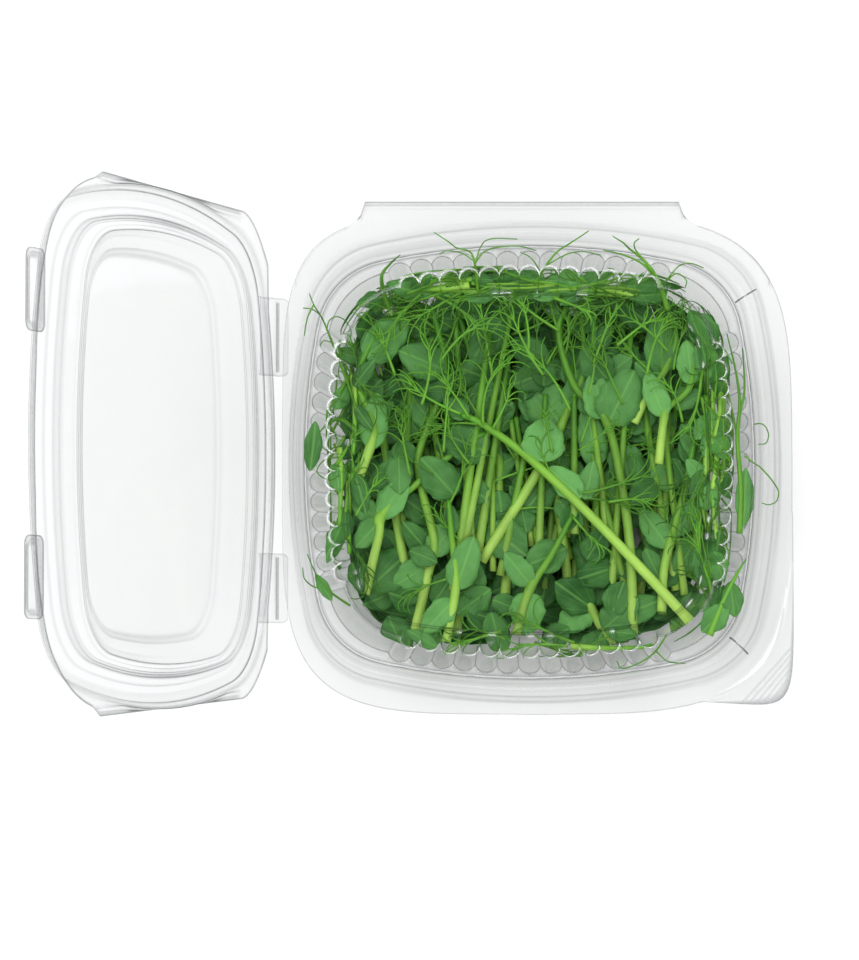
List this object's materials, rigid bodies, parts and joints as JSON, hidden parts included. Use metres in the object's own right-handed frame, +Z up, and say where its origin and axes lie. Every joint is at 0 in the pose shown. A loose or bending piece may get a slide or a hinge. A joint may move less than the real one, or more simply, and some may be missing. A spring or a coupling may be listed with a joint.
{
  "type": "microgreens tray",
  "caption": "hinged clear tray with a fluted bowl, inner cover and snap lid, filled with cut pea shoots",
  "frame": {"origin": "middle of the tray's flat underside, on the table", "axes": "+Z up out of the tray, -X towards the lid's hinge, +Y towards the side with the long press tab"},
  "size_m": [0.2428, 0.1715, 0.2025],
  "materials": {
    "clear_plastic": "clear formed sheet, smooth and glossy",
    "pea_shoot": "fresh green stem and leaf with a soft sheen; matte plastic stands in for plant tissue"
  },
  "bodies": {
    "tray": {"base_tray": "clear_plastic", "inner_cover": "clear_plastic", "shoot_01": "pea_shoot", "shoot_02": "pea_shoot", "shoot_03": "pea_shoot", "shoot_04": "pea_shoot", "shoot_05": "pea_shoot", "shoot_06": "pea_shoot", "shoot_07": "pea_shoot", "shoot_08": "pea_shoot", "shoot_09": "pea_shoot", "shoot_10": "pea_shoot", "shoot_11": "pea_shoot", "shoot_12": "pea_shoot", "shoot_13": "pea_shoot", "shoot_14": "pea_shoot", "shoot_15": "pea_shoot", "shoot_16": "pea_shoot", "shoot_17": "pea_shoot", "shoot_18": "pea_shoot", "shoot_19": "pea_shoot", "shoot_20": "pea_shoot", "shoot_21": "pea_shoot", "shoot_22": "pea_shoot", "shoot_23": "pea_shoot", "shoot_24": "pea_shoot", "shoot_25": "pea_shoot", "shoot_26": "pea_shoot", "shoot_27": "pea_shoot", "shoot_28": "pea_shoot", "shoot_29": "pea_shoot", "shoot_30": "pea_shoot", "shoot_31": "pea_shoot"},
    "lid": {"lid": "clear_plastic"}
  },
  "joints": [
    {"name": "lid_hinge", "type": "hinge", "parent": "tray", "child": "lid", "pos_m": [-0.0842, 0, 0.0435], "axis": [0, 1, 0], "range_deg": [-67, 113]}
  ]
}
